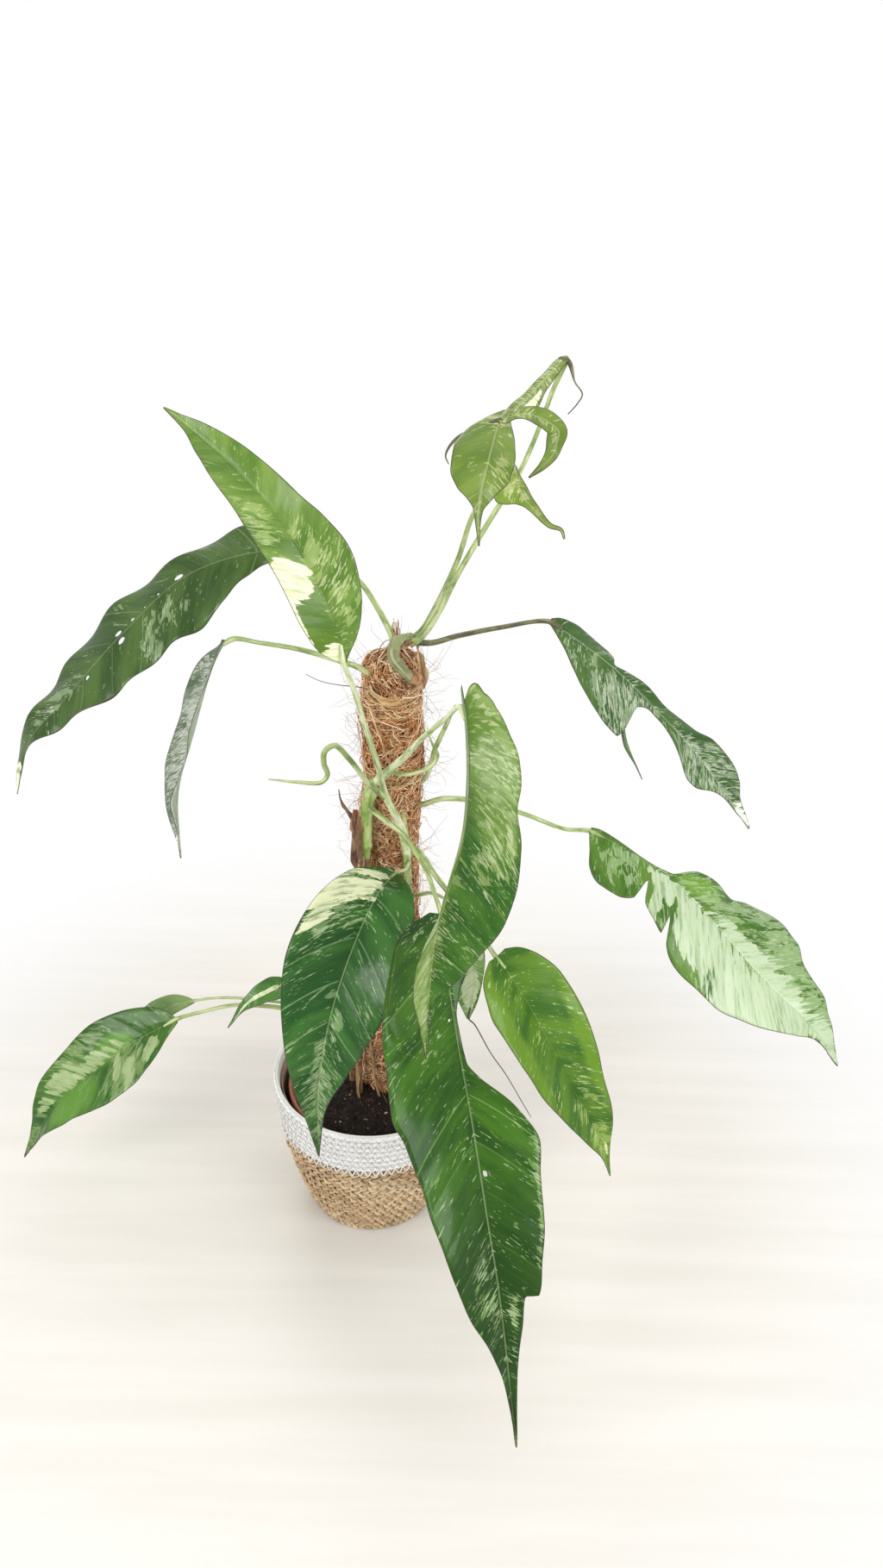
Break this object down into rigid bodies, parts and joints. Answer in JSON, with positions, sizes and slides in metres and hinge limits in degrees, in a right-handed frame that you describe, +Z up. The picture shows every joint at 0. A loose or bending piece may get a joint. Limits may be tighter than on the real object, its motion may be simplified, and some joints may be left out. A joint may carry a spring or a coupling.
{
  "type": "potted variegated dragon tail plant",
  "caption": "Climbing aroid with long cream-marked leaves on a tied coir pole, potted in a nursery pot inside a two-tone braided basket.",
  "frame": {"origin": "the middle of the basket's flat foot, on the surface it stands on", "axes": "+Z up the pole, -Y towards the pictured side, +X to the right as pictured"},
  "size_m": [0.631, 0.3405, 0.672],
  "materials": {
    "jute": "matte",
    "white_cotton": "matte",
    "liner": "satin",
    "nursery_pot": "satin",
    "stake_wood": "matte",
    "coir": "matte",
    "twine": "matte",
    "vine": "satin",
    "soil": "matte",
    "leaf_fresh": "satin",
    "leaf_deep": "satin",
    "leaf_pale": "satin",
    "dry_sheath": "matte"
  },
  "bodies": {
    "root": {"basket_jute_body": "jute", "basket_white_band": "white_cotton", "basket_liner": "liner", "nursery_pot": "nursery_pot", "pole_stake": "stake_wood", "coir_sleeve": "coir", "twine_tie_1": "twine", "twine_tie_2": "twine", "vine_main": "vine", "vine_front": "vine", "vine_low": "vine", "soil": "soil", "leaf_01": "leaf_fresh", "leaf_02": "leaf_deep", "leaf_03": "leaf_pale", "leaf_04": "leaf_pale", "leaf_05": "leaf_pale", "leaf_06": "leaf_pale", "leaf_07": "leaf_fresh", "leaf_08": "leaf_fresh", "leaf_09": "leaf_deep", "leaf_10": "leaf_deep", "leaf_11": "leaf_fresh", "leaf_12": "leaf_pale", "leaf_13": "leaf_fresh", "leaf_14": "leaf_pale", "leaf_15": "leaf_pale", "curled_shoot": "leaf_fresh", "tendril": "vine", "sheathed_leaf": "vine", "dried_sheath": "dry_sheath"}
  },
  "joints": []
}
